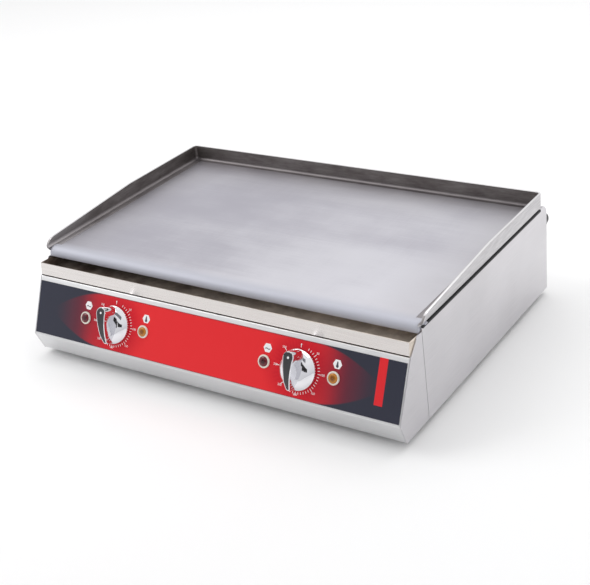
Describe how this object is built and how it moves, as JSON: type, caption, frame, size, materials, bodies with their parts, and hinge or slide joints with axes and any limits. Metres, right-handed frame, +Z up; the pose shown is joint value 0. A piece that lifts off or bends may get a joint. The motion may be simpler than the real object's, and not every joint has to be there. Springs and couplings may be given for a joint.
{
  "type": "flat top griddle",
  "caption": "Counter-top electric griddle: flat steel plate with raised guards on three sides, sloped panel of rotary thermostats and a slide-out grease tray.",
  "frame": {"origin": "middle of the griddle's footprint box, on the plane its feet stand on", "axes": "+X to the cook's right, +Y towards the back, +Z up"},
  "size_m": [0.711, 0.5748, 0.2005],
  "materials": {
    "satin_stainless": "bright satin stainless sheet with a fine grain",
    "ground_plate": "ground steel cooking plate with faint grinding marks",
    "guard_steel": "ground steel strip with a heat tint by the welds",
    "galvanised_sheet": "dull zinc-coated sheet",
    "printed_overlay": "satin printed film, red fading into dark slate",
    "chrome": "polished chrome plate",
    "black_inlay": "satin black",
    "plated_shaft": "nickel-plated brass",
    "bakelite": "dark moulded bakelite",
    "pilot_ring": "glossy white",
    "red_lens": "dark red translucent lens",
    "amber_lens": "amber translucent lens",
    "element_tube": "dark oxidised heating tube",
    "copper": "copper tube",
    "ceramic_wool": "white fibre blanket",
    "terminal_ceramic": "white ceramic",
    "loom_sleeve": "black braided sleeve",
    "gland_plastic": "black nylon",
    "foot_rubber": "black rubber"
  },
  "bodies": {
    "griddle": {"base_pan": "satin_stainless", "capillary_left": "copper", "capillary_right": "copper", "control_box_wall": "galvanised_sheet", "control_panel": "satin_stainless", "end_cap_left": "satin_stainless", "end_cap_right": "satin_stainless", "foot_front_left": "foot_rubber", "foot_front_right": "foot_rubber", "foot_rear_left": "foot_rubber", "foot_rear_right": "foot_rubber", "foot_screw_front_left": "galvanised_sheet", "foot_screw_front_right": "galvanised_sheet", "foot_screw_rear_left": "galvanised_sheet", "foot_screw_rear_right": "galvanised_sheet", "gland_body": "gland_plastic", "gland_dome_nut": "gland_plastic", "gland_lock_nut": "gland_plastic", "graphic_overlay": "printed_overlay", "griddle_plate": "ground_plate", "heat_shield": "galvanised_sheet", "heating_element_left": "element_tube", "heating_element_right": "element_tube", "insulation_blanket": "ceramic_wool", "pilot_body_left_amber": "pilot_ring", "pilot_body_left_red": "pilot_ring", "pilot_body_right_amber": "pilot_ring", "pilot_body_right_red": "pilot_ring", "pilot_lens_left_amber": "amber_lens", "pilot_lens_left_red": "red_lens", "pilot_lens_right_amber": "amber_lens", "pilot_lens_right_red": "red_lens", "plate_rail_front": "galvanised_sheet", "plate_rail_rear": "galvanised_sheet", "press_plate_left": "galvanised_sheet", "press_plate_right": "galvanised_sheet", "rear_panel": "satin_stainless", "safety_thermostat": "bakelite", "sensor_bulb_left": "copper", "sensor_bulb_right": "copper", "side_panel_left": "satin_stainless", "side_panel_right": "satin_stainless", "splash_guard_left": "guard_steel", "splash_guard_rear": "guard_steel", "splash_guard_right": "guard_steel", "supply_loom": "loom_sleeve", "terminal_block": "terminal_ceramic", "thermostat_left": "bakelite", "thermostat_right": "bakelite", "tray_runner_left": "galvanised_sheet", "tray_runner_right": "galvanised_sheet"},
    "knob_left": {"knob_left": "chrome", "knob_inlay_left": "black_inlay", "thermostat_shaft_left": "plated_shaft"},
    "knob_right": {"knob_right": "chrome", "knob_inlay_right": "black_inlay", "thermostat_shaft_right": "plated_shaft"},
    "tray": {"grease_tray": "satin_stainless"}
  },
  "joints": [
    {"name": "knob_left_turn", "type": "hinge", "parent": "griddle", "child": "knob_left", "pos_m": [-0.1801, -0.25435, 0.08768], "axis": [0, 0.9107, -0.4131], "range_deg": [0, 300]},
    {"name": "knob_right_turn", "type": "hinge", "parent": "griddle", "child": "knob_right", "pos_m": [0.1735, -0.25435, 0.08768], "axis": [0, 0.9107, -0.4131], "range_deg": [0, 300]},
    {"name": "tray_slide", "type": "slide", "parent": "griddle", "child": "tray", "axis": [0, -1, 0], "range_m": [0, 0.065]}
  ]
}
